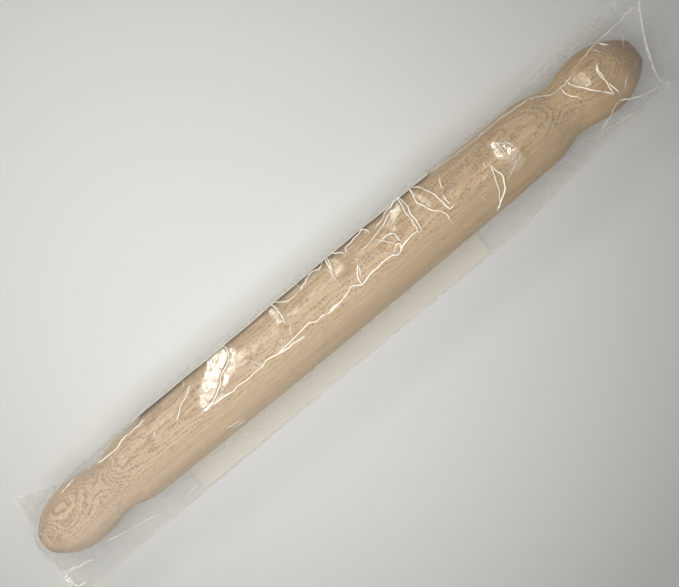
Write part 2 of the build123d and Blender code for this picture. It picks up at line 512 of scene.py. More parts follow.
FOLD_LINES = [
    # how high the fold stands, how strong its white line is (partly whitened film, mostly painted
    # glint), and where it runs: (along, round)
    # over the barrel, on the weld's side of its middle
    (0.45, 0.9, [(-84.5, 0), (-79, 0), (-73, -1), (-67, -1.5), (-60, -1.5), (-54.5, -1.5),
        (-49, -1.5), (-43, -1), (-37, -2), (-31, -2.5), (-25, -3.5), (-19, -4)]),
    (0.35, 0.7, [(-37, -2), (-31, -1.5), (-25.5, -1.5), (-18, -0.5), (-13.5, 0), (-10, -2),
        (-5.5, -2), (-0.5, -2.5), (4.5, -2.5)]),
    (0.5, 0.6, [(-57, 20.5), (-55, 18.5), (-56.5, 13), (-61, 10), (-68.5, 5), (-73.5, 0.5),
        (-84.5, 0)]),
    (0.3, 0.6, [(-82, 16.5), (-87.5, 12), (-93.5, 9), (-98.5, 5.5)]),
    (0.3, 0.6, [(-23.5, 22), (-22, 15), (-21.5, 10), (-24, 9)]),
    (0.3, 0.6, [(-23.5, 23), (-18, 19), (-12, 16.5), (-9.5, 17)]),
    (0.2, 0.6, [(-82, -14.5), (-76.5, -16.5), (-72, -18)]),
    (0.2, 0.6, [(-80.5, -17), (-75, -19), (-71.5, -20)]),
    # over the barrel, on the mouth's side of its middle
    (0.45, 0.9, [(-1, -1.5), (3.5, -2), (8, -2), (11, -1), (14, 0), (16.5, 0), (19.5, -2),
        (22.5, -2), (25.5, -1.5), (29, -1), (33, -1), (38, -0.5), (41, -1), (44, -2), (49.5, 0),
        (51, 0), (54, 0.5), (57, 0.5), (57.5, 0)]),
    (0.35, 0.6, [(44, -2), (46.5, -1.5), (48, 0), (48, 1), (46.5, 2), (44, 1), (44, -1)]),
    (0.3, 0.6, [(24.5, 7.5), (22.5, 5.5), (20, 2), (19.5, 0), (19.5, -2)]),
    (0.3, 0.6, [(24.5, 7), (24, 4.5), (21.5, 1)]),
    (0.35, 0.6, [(-7.5, 16.5), (-3, 19), (2, 21), (6.5, 20), (9.5, 20.5), (13.5, 21.5)]),
    (0.35, 0.6, [(13.5, 21.5), (12, 15.5), (11, 10)]),
    (0.3, 0.6, [(14.5, 22.5), (12.5, 13)]),
    (0.3, 0.6, [(16.5, 23), (20.5, 20), (22.5, 17), (21.5, 15)]),
    (0.35, 0.6, [(22.5, 17), (25.5, 19.5), (29.5, 20), (33, 20), (36.5, 21.5), (39, 19.5),
        (39.5, 16.5)]),
    (0.35, 0.6, [(30.5, 11.5), (36, 12.5), (40.5, 13), (44.5, 14.5), (52.5, 16), (54, 16.5)]),
    (0.35, 0.6, [(42, 17), (47, 17.5), (52.5, 18.5), (55.5, 18.5), (60, 19.5)]),
    (0.35, 0.6, [(38, 8.5), (43.5, 9), (47.5, 8.5), (48.5, 6.5), (48, 4), (48, 1)]),
    (0.4, 0.6, [(61.5, 20.5), (60, 13), (59.5, 7.5), (59.5, 3), (57.5, 0.5), (58.5, -0.5)]),
    (0.3, 0.6, [(62, 20), (62, 13), (61.5, 8.5), (61.5, 5), (60.5, 0)]),
    (0.35, 0.6, [(68, 21), (72, 20), (74.5, 16), (75.5, 12), (77, 8), (77, 5), (77, 0), (78, -2),
        (81.5, -1)]),
    (0.35, 0.6, [(68, 21), (67.5, 14), (68, 8.5), (69.5, 4.5), (73.5, 1), (74.5, -1), (74.5, -4),
        (74.5, -7.5)]),
    (0.25, 0.6, [(79.5, 0), (79.5, 4.5), (79.5, 7.5)]),
    (0.2, 0.6, [(84, 15.5), (82.5, 13), (81.5, 8.5)]),
    # over the shoulder, neck and knob at the mouth, and on to the rim
    (0.6, 0.24, [(62, 24), (81.5, 23.5), (103.5, 20), (123, 20), (135, 19), (144, 17), (153.5, 9),
        (158, 10.5), (161.5, 9.5), (170, 13), (183.5, 16.5), (193.5, 16.5), (209, 18.5),
        (212.5, 19)]),
    (0.5, 0.9, [(107.5, 2), (108.5, -9), (96.5, -16.5)]),
    (0.5, 0.6, [(107.5, 2), (101.5, -12.5), (96.5, -16.5)]),
    (0.4, 0.16, [(116.5, 9.5), (122, 2.5), (121.5, -3), (116, -4.5), (108, -9.5)]),
    (0.3, 0.2, [(116.5, 9.5), (116, 1.5), (116, -4.5)]),
    (0.4, 0.6, [(178.5, 7), (176.5, 1.5), (177, -5.5), (178.5, -12.5)]),
    (0.3, 0.6, [(177.5, 7), (176, 0.5), (176, -10)]),
    (0.3, 0.6, [(162, 11), (162.5, 6), (166.5, 0.5), (171.5, -4), (176, -10)]),
    (0.3, 0.6, [(158, 9.5), (158, 4.5), (161, 0)]),
    (0.3, 0.6, [(186, 15.5), (189, 11)]),
    (0.4, 0.6, [(204.5, 19.5), (209.5, 19), (212.5, 18.5)]),
    (0.3, 0.6, [(214.5, 11), (211.5, 5.5), (209, -5)]),
    (0.3, 0.6, [(177, -15), (170.5, -18.5), (160.5, -27)]),
    (0.3, 0.6, [(198.5, -28), (192, -27.5), (176.5, -15.5)]),
    (0.3, 0.6, [(184.5, -45.5), (171, -37.5), (162, -27.5)]),
    # at the weld, and over the neck and knob there
    (0.4, 1.0, [(-235.5, -27.5), (-220, -28), (-206, -28.5), (-199.5, -29), (-192.5, -30),
        (-188.5, -30.5), (-187.5, -34)]),
    (0.3, 0.9, [(-212, -26.5), (-206, -27), (-198, -28)]),
    (0.4, 1.0, [(-235.5, -28.5), (-235, -33.5), (-226, -36.5), (-215, -39.5), (-208, -41.5),
        (-202, -43.5)]),
    (0.3, 0.9, [(-235.5, -31), (-228, -31), (-218, -33), (-210, -33.5)]),
    (0.3, 0.4, [(-154, 28), (-160, 28), (-166.5, 27.5), (-175, 24), (-181.5, 21.5)]),
    (0.3, 0.5, [(-163, 19.5), (-168, 18.5), (-172, 18)]),
    (0.2, 0.25, [(-195.5, 7), (-195, 3), (-195, -1), (-195.5, -6.5)]),
    (0.5, 0.9, [(-113.5, 18.5), (-120.5, 17.5), (-127.5, 18), (-133, 15), (-139.5, 16),
        (-146.5, 16)]),
    (0.4, 0.7, [(-162.5, 20), (-167.5, 17.5), (-172, 17.5)]),
    (0.3, 0.6, [(-110.5, 8.5), (-113.5, 6)]),
    (0.3, 0.6, [(-174, -25), (-162.5, -31), (-151, -35), (-143.5, -40.5)]),
    (0.3, 0.6, [(-129.5, -43.5), (-117.5, -41)]),
]
FLAT_PLACES = [
    # where the film stands off in a flat: the place round where it touches, how it climbs
    # along the pin, how far its edge eases off, how clean it is, its outline (along, round)
    (9.5, -0.05, 6.0, 1.0, [(-57, 20.5), (-54.5, 17), (-56, 12), (-60, 8), (-66, 3.5), (-73, 0),
        (-83, 1.5), (-80, 6), (-75, 10), (-70, 14), (-66, 18)]),
    (-7.0, 0.0, 2.4, 0.0, [(107.5, 2), (108.7, -9), (96.7, -16.7)]),
    (9.3, 0.25, 3.6, 1.0, [(115, 10), (122, 4), (121, -4), (116, -7), (114, 2)]),
    (9.1, 0.3, 3.5, 0.15, [(164, 9), (174, 7), (172, -1), (168, 0)]),
    (9.4, 0.02, 2.6, 0.4, [(-24, 22), (-22, 15), (-20, 10), (-25, 10), (-27, 18)]),
    (9.2, 0.16, 2.6, 0.2, [(52, 12), (60, 14), (62, 20), (50, 17)]),
    (9.3, 0.09, 2.6, 0.15, [(12, 21), (18, 17), (18, 10), (12, 10)]),
    (9.2, 0.18, 2.6, 0.15, [(68, 20), (72, 12), (72, 5), (68, 10)]),
]
# The flats: how far the film stands off the pin in one, away from where it touches.
FLAT_TURN_MOST = 0.6
FLAT_TENT_MOST = 2.6
FLAT_STAND = 0.35
FLAT_BOW = 0.006
FLAT_BOW_MOST = 0.6
FLAT_CLIMB_MOST = 2.2
FLAT_FACETS = 0.12
# Crumpling: near 0 for film drawn tight, 1 where it was gripped.
DRAWN_CRUMPLE = 0.14
GRIPPED_ALONG = (-98, 95, 22, 22)
GRIPPED_ROUND = (-6, 36, 8, 8)
WELD_CRUMPLE = 0.8
WELD_CRUMPLE_FROM = -165.0
WELD_CRUMPLE_EASE = 25.0
MOUTH_CRUMPLE = 0.6
MOUTH_CRUMPLE_FROM = 120.0
MOUTH_CRUMPLE_EASE = 40.0
# Facets: a pair is the value for film drawn tight, and what full crumpling adds to it.
FACETS_KEPT = (0.45, 0.55)
FACET_HEIGHTS = (0.08, 0.55)
FACET_EDGES_SHOWN = (0.02, 0.12)
FACET_EDGE_STANDS = (0.05, 0.14)
# A shown facet edge gets a faint white line: partly whitened film, mostly a painted glint.
FACET_EDGE_WHITE_GLINT = 0.03
FACET_EDGE_WHITE_GLINT_SPREAD = 0.3
# Creases: a pair is the least and the most that a random draw gives.
RANDOM_SEED = 41
LINE_WANDER = 0.6
LINE_GLINTS = (0.45, 1.2)
KNOT_STEP = 5
GATHER_COUNT = 12
GATHERS_ALONG = (1, 9)
GATHERS_ROUND = (-45, -22)
GATHER_BENDS = 3
GATHER_STEPS = (3, 8)
GATHER_DRIFT = 2.5
GATHER_STAND = 0.35
# The gathers' white lines: partly whitened film, mostly painted glints.
GATHER_WHITE_GLINTS = (0.6, 1.0)
# The mesh's points. The border's white glints, painted along its edges, are for the weld, front
# fold, rim and back fold.
FACET_STEP = 6.0
FACET_SHIFT = 2.6
BORDER_COUNT = 77
BORDER_WHITE_GLINTS = (0.06, 0.12, 0.2, 0.12)
BORDER_KEEP_OFF = 0.5
CREASE_STEP = 0.65
CREASE_CLEARANCE = 0.3
CREASE_FADE = 4
FLANK_OFFSET = 0.37
FLANK_CLEARANCE = 0.36
MESH_STEP = 1.45
MESH_ROW_STEP = MESH_STEP * 0.87
MESH_CLEARANCE = 0.62
MESH_KEEP_OFF = 0.7
CELL = 0.5
# The wrapped film: flat at its folds, clear of the card's free edge, and closed underneath.
EDGE_EASE = 6.0
OVER_CARD_ALONG = (-122, 83, 4, 4)
OVER_CARD_ROUND = (17, 38, 5, 8)
OVER_CARD_LIFT = 2.1
UNDER_LIP_WAVE = 0.6
UNDER_LIP_TURN = 9.0
UNDER_LIP_COUNT = 22
UNDER_ALONG = (-205, 235)
UNDER_ACROSS = (-38, 30)
UNDER_STEP = 7.0
UNDER_KEEP_OFF = 4.0
UNDER_LIFT = 0.06
# The film's look.
CRINKLE_SCALE = 420.0
GRIT_SCALE = 1100.0
FILM_CLOUD_SCALE = 35.0
FILM_PATCH_SCALE = 300.0
FILM_CLEAR = (0.972, 0.971, 0.967)
FILM_MIRROR = 0.07
FILM_MIRROR_EDGE_ON = 0.5
FILM_MIRROR_CLEAN = 0.1
CLOUD_SPAN = (0.42, 0.58)
CLOUD_ROUGHNESSES = (0.36, 0.12)
PATCH_SPAN = (0.46, 0.62)
PATCH_ROUGHNESSES = (0.14, 0.36)
FILM_MILK = (1.0, 0.98, 0.945)
FILM_MILK_ROUGHNESS = 0.3
FILM_HAZE = 0.08
# Along the creases the film is white, warm and glowing: partly whitened film, mostly painted
# highlights.
CREASE_GLINT_GAIN = 3.2
MILK_AND_GLINT_MOST = 0.97
CREASE_WHITE_GLINT_TONE = (1.0, 0.94, 0.8)
CREASE_GLINT = (1.0, 0.91, 0.64)
CREASE_GLINT_STRENGTH = 0.8


def bag_form():
    """The form's rows, with each one's place along the laid-flat tube in front."""
    rows = np.array(BAG_FORM)
    tops = rows[:, 1] + rows[:, 2]
    along = np.concatenate([[0.0], np.cumsum(np.hypot(np.diff(rows[:, 0]), np.diff(tops)))])
    return along - np.interp(0.0, rows[:, 0], along), rows


BAG_ALONG, BAG_ROWS = bag_form()
BAG_START = BAG_ALONG[0]
BAG_FINISH = RIM_PLACE + RIM_PAST


def on_bag(along, round_by):
    """Where places on the laid-flat tube lie over the pin, with the outward direction there."""
    easing = np.clip((along - BAG_ALONG[2]) / FORM_EASE, 0, 1)
    form = []
    for column in range(6):
        sampled = [
            np.interp(along + shift * easing, BAG_ALONG, BAG_ROWS[:, column])
            for shift in FORM_BLUR
        ]
        form.append(sum(sampled) / len(FORM_BLUR))
    x, radius, height, front, back, turn = form
    share = round_by / HALF_ROUND
    reach = np.where(share < 0, front, back)
    rise = height - FILM_LIFT
    far = np.hypot(rise, reach)
    radius = np.minimum(radius, far * 0.99)
    lean = np.arctan2(rise, reach) + np.arcsin(radius / far)
    run = np.abs(share) * (radius * lean + np.sqrt(far**2 - radius**2))
    angle = np.minimum(run / radius, lean)
    rest = run - radius * angle
    side = np.where(share < 0, -1.0, 1.0)
    y = side * (radius * np.sin(angle) + rest * np.cos(angle))
    z = height + radius * np.cos(angle) - rest * np.sin(angle)
    twist = np.radians(turn)
    place = np.stack([x + y * np.sin(twist), y * np.cos(twist), z], axis=-1)
    outward = np.stack([np.zeros_like(x), side * np.sin(angle), np.cos(angle)], axis=-1)
    return place, outward


def rim_along(round_by):
    """How far along the tube its skewed rim is, at each place round it, found by rounds."""
    along = np.full(round_by.shape, RIM_PLACE)
    for _ in range(RIM_ROUNDS):
        place, _ = on_bag(along, round_by)
        rim = RIM_PLACE + RIM_SKEW * place[:, 1] - RIM_LEAN * place[:, 2]
        along = along + (rim - place[:, 0])
    return along


def evenly(points, step):
    """The same broken line with its points an even step apart."""
    points = np.asarray(points, float)
    lengths = np.concatenate([[0.0], np.cumsum(np.hypot(*np.diff(points, axis=0).T))])
    count = max(2, int(round(lengths[-1] / step)) + 1)
    at = np.linspace(0, lengths[-1], count)
    return np.stack([np.interp(at, lengths, points[:, k]) for k in (0, 1)], axis=-1)


def corners_cut(points):
    """The line with its corners cut once, so that it bends and doesn't break."""
    points = np.asarray(points, float)
    if len(points) < 3:
        return points
    rows = [points[0]]
    for before, after in zip(points[:-1], points[1:]):
        rows.append(before * 0.75 + after * 0.25)
        rows.append(before * 0.25 + after * 0.75)
    rows.append(points[-1])
    return np.array(rows)


def within(value, low, high, low_ease, high_ease):
    """1 inside a stretch, and 0 outside it, with an even change inside each end."""
    return np.clip((value - low) / low_ease, 0, 1) * np.clip((high - value) / high_ease, 0, 1)


def crumple_share(along, round_by):
    """How crumpled the film is at a place, from near 0 for drawn tight to 1 for gripped."""
    gripped = within(along, *GRIPPED_ALONG) * within(round_by, *GRIPPED_ROUND)
    welded = np.clip((WELD_CRUMPLE_FROM - along) / WELD_CRUMPLE_EASE, 0, 1)
    mouth = np.clip((along - MOUTH_CRUMPLE_FROM) / MOUTH_CRUMPLE_EASE, 0, 1)
    crumple = DRAWN_CRUMPLE + gripped * (1 - DRAWN_CRUMPLE)
    return np.clip(crumple + welded * WELD_CRUMPLE + mouth * MOUTH_CRUMPLE, 0, 1)


def facet_net(chance):
    """Loose points, each a little high or low, and the flat triangles that join them."""
    points = np.array([
        (along, round_by)
        for along in np.arange(BAG_START, BAG_FINISH + FACET_STEP, FACET_STEP)
        for round_by in np.arange(-HALF_ROUND, HALF_ROUND + 1, FACET_STEP)
    ])
    points = points + chance.uniform(-FACET_SHIFT, FACET_SHIFT, (len(points), 2))
    crumpled = crumple_share(*points.T)
    kept = chance.random(len(points)) < FACETS_KEPT[0] + FACETS_KEPT[1] * crumpled
    points, crumpled = points[kept], crumpled[kept]
    heights = chance.random(len(points)) * (FACET_HEIGHTS[0] + FACET_HEIGHTS[1] * crumpled)
    margin = [(x, y) for x in (BAG_START - 30, BAG_FINISH + 40) for y in (-90, 90)]
    corners = np.concatenate([points, margin])
    heights = np.concatenate([heights, np.zeros(len(margin))])
    net = geometry.delaunay_2d_cdt([Vector(p) for p in corners.tolist()], [], [], 0, 1e-4)
    return corners, heights, np.array(net[2]), len(points)


def laid_lines(chance):
    """The fold lines above, with a little wander and an uneven painted glint."""
    lines = []
    for stand, white_glint, points in FOLD_LINES:
        points = evenly(corners_cut(points), CREASE_STEP)
        count = len(points)
        knots = np.arange(0, count + KNOT_STEP, KNOT_STEP)
        wander = np.stack([
            np.interp(
                np.arange(count), knots, chance.uniform(-LINE_WANDER, LINE_WANDER, len(knots))
            )
            for _ in (0, 1)
        ], axis=-1)
        glint = np.interp(np.arange(count), knots, chance.uniform(*LINE_GLINTS, len(knots)))
        lines.append((stand, white_glint * glint, points + wander * min(1, count / 20)))
    return lines


def gather_lines(chance):
    """Short creases that run in from the weld, each with a painted white glint."""
    lines = []
    for _ in range(GATHER_COUNT):
        along = BAG_START + chance.uniform(*GATHERS_ALONG)
        bends = [np.array((along, chance.uniform(*GATHERS_ROUND)))]
        for _ in range(GATHER_BENDS):
            step = chance.uniform(*GATHER_STEPS)
            bends.append(bends[-1] + (step, chance.uniform(-GATHER_DRIFT, GATHER_DRIFT)))
        white_glint = chance.uniform(*GATHER_WHITE_GLINTS)
        lines.append((GATHER_STAND, white_glint, evenly(bends, CREASE_STEP)))
    return lines


def facet_lines(chance, corners, facets, facet_count):
    """Some of the facets' own edges, with painted white glints: few and faint, but for where the
    film is crumpled.
    """
    lines = []
    edges = {tuple(sorted((face[i], face[i - 1]))) for face in facets for i in range(3)}
    for first, second in sorted(edges):
        if max(first, second) >= facet_count:
            continue
        strong = float(crumple_share(*((corners[first] + corners[second]) / 2)))
        if chance.random() < FACET_EDGES_SHOWN[0] + FACET_EDGES_SHOWN[1] * strong:
            stand = FACET_EDGE_STANDS[0] + FACET_EDGE_STANDS[1] * chance.random() * strong
            white_glint = FACET_EDGE_WHITE_GLINT + FACET_EDGE_WHITE_GLINT_SPREAD * chance.random() ** 2
            white_glint *= 0.3 + 0.7 * strong
            lines.append((stand, white_glint, evenly([corners[first], corners[second]], CREASE_STEP)))
    return lines


def bag_border():
    """The laid-flat tube's sides in turn: the weld, the front fold, the rim, the back fold."""
    round_by = np.linspace(-HALF_ROUND, HALF_ROUND, BORDER_COUNT)
    weld = np.stack([np.full(BORDER_COUNT, BAG_START), round_by], axis=-1)
    rim = np.stack([rim_along(round_by), round_by], axis=-1)
    folds = []
    for side, last in ((-HALF_ROUND, rim[0, 0]), (HALF_ROUND, rim[-1, 0])):
        along = np.linspace(BAG_START, last, int((last - BAG_START) / MESH_STEP))[1:-1]
        folds.append(np.stack([along, np.full(len(along), side)], axis=-1))
    return weld[::-1], folds[0], rim, folds[1][::-1]


def inside(points, rim, keep_off):
    """Which points lie that far or more inside the tube's sides."""
    limit = np.interp(points[:, 1], rim[:, 1], rim[:, 0])
    return (
        (points[:, 0] > BAG_START + keep_off)
        & (points[:, 0] < limit - keep_off)
        & (np.abs(points[:, 1]) < HALF_ROUND - keep_off)
    )


class SpacedPoints:
    """Points on the laid-flat tube, each with how high it stands and how strong its white glint is:
    partly whitened film, mostly painted highlight.
    """

    def __init__(self):
        self.cells = {}
        self.rows = []

    def crowded(self, cell, point, clearance):
        """Whether an earlier point lies within the clearance."""
        reach = int(np.ceil(clearance / CELL))
        for i in range(cell[0] - reach, cell[0] + reach + 1):
            for j in range(cell[1] - reach, cell[1] + reach + 1):
                for other in self.cells.get((i, j), ()):
                    if (other[0] - point[0]) ** 2 + (other[1] - point[1]) ** 2 < clearance**2:
                        return True
        return False

    def take(self, points, stands, white_glints, clearance):
        """Adds each point that isn't crowded."""
        for point, stand, white_glint in zip(points, stands, white_glints):
            cell = (int(np.floor(point[0] / CELL)), int(np.floor(point[1] / CELL)))
            if not self.crowded(cell, point, clearance):
                self.cells.setdefault(cell, []).append((point[0], point[1]))
                self.rows.append((point[0], point[1], stand, white_glint))

    def take_plain(self, points, clearance):
        """Adds points that neither stand up nor carry a white glint."""
        self.take(points, np.zeros(len(points)), np.zeros(len(points)), clearance)


def film_points(border, lines):
    """The mesh's points: the border, the lines, a row on each side of them, then a grid."""
    rim = border[2]
    taken = SpacedPoints()
    outline = np.concatenate(border)
    # The border gets painted white glints along the weld, the folds and the rim.
    edge_white_glint = [np.full(len(side), white_glint) for side, white_glint in zip(border, BORDER_WHITE_GLINTS)]
    taken.take(outline, np.zeros(len(outline)), np.concatenate(edge_white_glint), 0.0)
    for stand, white_glint, points in lines:
        kept = inside(points, rim, BORDER_KEEP_OFF)
        points = points[kept]
        if len(points) < 2:
            continue
        white_glint = np.broadcast_to(white_glint, kept.shape)[kept]
        from_end = np.minimum(np.arange(len(points)), np.arange(len(points))[::-1])
        fade = np.minimum(1, from_end / CREASE_FADE)
        taken.take(points, stand * fade, white_glint * (0.25 + 0.75 * fade), CREASE_CLEARANCE)
    for _, _, points in lines:
        across = np.gradient(points, axis=0)[:, ::-1] * (1, -1)
        across /= np.maximum(np.hypot(*across.T), 1e-9)[:, None]
        for side in (-1, 1):
            flank = points + across * side * FLANK_OFFSET
            taken.take_plain(flank[inside(flank, rim, BORDER_KEEP_OFF)], FLANK_CLEARANCE)
    grid = []
    for index, along in enumerate(np.arange(BAG_START, BAG_FINISH, MESH_ROW_STEP)):
        shift = MESH_STEP / 2 if index % 2 else 0.0
        for round_by in np.arange(-HALF_ROUND + shift, HALF_ROUND, MESH_STEP):
            grid.append((along, round_by))
    grid = np.array(grid)
    taken.take_plain(grid[inside(grid, rim, MESH_KEEP_OFF)], MESH_CLEARANCE)
    rows = np.array(taken.rows)
    return rows[:, :2], rows[:, 2], rows[:, 3]


def facet_lift(points, corners, heights, facets):
    """How high each point is on the facets."""
    lift = np.zeros(len(points))
    order = np.argsort(points[:, 0])
    sorted_along = points[order, 0]
    for face in facets:
        a, b, c = corners[face]
        low = np.searchsorted(sorted_along, min(a[0], b[0], c[0]))
        high = np.searchsorted(sorted_along, max(a[0], b[0], c[0]))
        some = order[low:high]
        if not len(some):
            continue
        area = (b[0] - a[0]) * (c[1] - a[1]) - (c[0] - a[0]) * (b[1] - a[1])
        to = points[some] - a
        v = (to[:, 0] * (c[1] - a[1]) - (c[0] - a[0]) * to[:, 1]) / area
        w = ((b[0] - a[0]) * to[:, 1] - to[:, 0] * (b[1] - a[1])) / area
        held = (v >= -1e-6) & (w >= -1e-6) & (v + w <= 1 + 1e-6)
        lift[some[held]] = (
            heights[face[0]] * (1 - v[held] - w[held])
            + heights[face[1]] * v[held]
            + heights[face[2]] * w[held]
        )
    return lift


def distance_outside(points, outline):
    """How far each point lies outside a closed outline, or 0 inside it."""
    crossings = np.zeros(len(points), int)
    away = np.full(len(points), 1e9)
    for one, two in zip(outline, np.roll(outline, -1, axis=0)):
        span = two - one
        to = points - one
        share = np.clip((to @ span) / (span @ span), 0, 1)
        away = np.minimum(away, np.hypot(*(to - share[:, None] * span).T))
        over = (one[1] > points[:, 1]) != (two[1] > points[:, 1])
        reach = one[0] + (points[:, 1] - one[1]) * span[0] / (span[1] if span[1] else 1e-9)
        crossings += over & (points[:, 0] < reach)
    return np.where(crossings % 2 == 1, 0.0, away)


def with_flats(flat, lift):
    """The lift with the film drawn off in its flats, and how clean a flat each point is on."""
    clean = np.zeros(len(flat))
    for touch_round, climb, blend, shine, outline in FLAT_PLACES:
        outline = np.array(outline, float)
        centre = outline.mean(axis=0)
        away = distance_outside(flat, outline)
        turned = (flat[:, 1] - touch_round) / FILM_RADIUS
        turned = np.clip(turned, -FLAT_TURN_MOST, FLAT_TURN_MOST)
        tent = np.minimum(FILM_RADIUS * (1 / np.cos(turned) - 1), FLAT_TENT_MOST) + FLAT_STAND
        longest = np.linalg.svd(outline - centre)[2][0]
        off_line = (flat - centre) @ np.array((-longest[1], longest[0]))
        tent += np.minimum(FLAT_BOW * off_line**2, FLAT_BOW_MOST)
        low_end = (climb * (outline[:, 0] - centre[0])).min()
        tent += np.clip(climb * (flat[:, 0] - centre[0]) - low_end, 0, FLAT_CLIMB_MOST)
        near = np.exp(-((away / blend) ** 2))
        lift = lift * (1 - near) + (tent + FLAT_FACETS * lift) * near
        clean = np.maximum(clean, shine * np.exp(-((away / (0.5 * blend)) ** 2)))
    return lift, clean


def underside(place, before_rim, after_rim):
    """A plain sheet on the table that shares the border's points but for the rim's.

    It gives the sheet's faces, and the points that it adds to the upper side's.
    """
    first_y, last_y = place[before_rim[-1]][1], place[after_rim[0]][1]
    lip = []
    for share in np.linspace(0, 1, UNDER_LIP_COUNT)[1:-1]:
        y = first_y + (last_y - first_y) * share
        wave = UNDER_LIP_WAVE * sin(share * UNDER_LIP_TURN)
        lip.append((RIM_PLACE + RIM_SKEW * y + wave, y))
    ring = np.concatenate([place[before_rim][:, :2], lip, place[after_rim][:, :2]])
    spread = [
        (x, y)
        for x in np.arange(*UNDER_ALONG, UNDER_STEP)
        for y in np.arange(*UNDER_ACROSS, UNDER_STEP)
        if x < RIM_PLACE + RIM_SKEW * y - UNDER_KEEP_OFF
    ]
    points = np.concatenate([ring, spread]).tolist()
    loop = list(range(len(ring)))
    sheet = geometry.delaunay_2d_cdt([Vector(p) for p in points], [], [loop], 1, 1e-5)
    known = before_rim + [None] * len(lip) + after_rim
    numbers, added = [], []
    for point, originals in zip(sheet[0], sheet[3]):
        at = originals[0] if originals else None
        if at is not None and at < len(known) and known[at] is not None:
            numbers.append(known[at])
        else:
            numbers.append(len(place) + len(added))
            added.append((point[0], point[1], UNDER_LIFT))
    return [tuple(numbers[i] for i in reversed(face)) for face in sheet[2]], added


def bag_mesh():
    """Triangulates the laid-flat tube round its folds, wraps it, and closes it underneath."""
    chance = np.random.default_rng(RANDOM_SEED)
    corners, heights, facets, facet_count = facet_net(chance)
    lines = laid_lines(chance) + gather_lines(chance)
    lines += facet_lines(chance, corners, facets, facet_count)
    border = bag_border()
    points, stand, white_glint = film_points(border, lines)
    lift = facet_lift(points, corners, heights, facets)

    loop = list(range(sum(len(side) for side in border)))
    made = geometry.delaunay_2d_cdt([Vector(p) for p in points.tolist()], [], [loop], 1, 1e-5)
    flat = np.array([tuple(v) for v in made[0]])
    faces = [tuple(face) for face in made[2]]
    source = np.array([originals[0] if originals else -1 for originals in made[3]])
    lift, clean = with_flats(flat, lift[source])
    over_card = within(flat[:, 0], *OVER_CARD_ALONG) * within(flat[:, 1], *OVER_CARD_ROUND)
    lift = np.maximum(lift, over_card * OVER_CARD_LIFT)
    edge = np.clip((HALF_ROUND - np.abs(flat[:, 1])) / EDGE_EASE, 0, 1)
    edge *= np.clip((flat[:, 0] - BAG_ALONG[1]) / EDGE_EASE, 0, 1)
    place, outward = on_bag(flat[:, 0], flat[:, 1])
    place = place + outward * ((lift + stand[source]) * edge)[:, None]

    first_made = {}
    for index, original in enumerate(source):
        first_made.setdefault(int(original), index)
    ring = [first_made[index] for index in loop]
    rim_first = len(border[0]) + len(border[1])
    before_rim = ring[: rim_first + 1]
    after_rim = ring[rim_first + len(border[2]) - 1 :]
    under_faces, added = underside(place, before_rim, after_rim)
    faces += under_faces
    shared = Counter(tuple(sorted(face)) for face in faces)
    faces = [face for face in faces if shared[tuple(sorted(face))] == 1]
    unmarked = np.zeros(len(added))
    return (
        np.concatenate([place, added]),
        faces,
        np.concatenate([white_glint[source], unmarked]),
        np.concatenate([clean, unmarked]),
        set(before_rim + after_rim),
    )


def crinkled(tree, clean):
    """The film's fine crinkles as a normal, with grit where it is drawn clean."""
    place = node(tree, "ShaderNodeTexCoord").outputs["Object"]
    fine = noise(tree, place, CRINKLE_SCALE, 3.0)
    grit = noise(tree, place, GRIT_SCALE, 2.0)
    relief = maths(tree, "MULTIPLY", fine, maths(tree, "MULTIPLY_ADD", clean, 0.5, 1.0))
    relief = maths(tree, "MULTIPLY_ADD", maths(tree, "MULTIPLY", grit, clean), 0.5, relief)
    made = node(tree, "ShaderNodeBump", {"Strength": 0.45, "Distance": 0.0003, "Height": relief})
    return made.outputs[0]


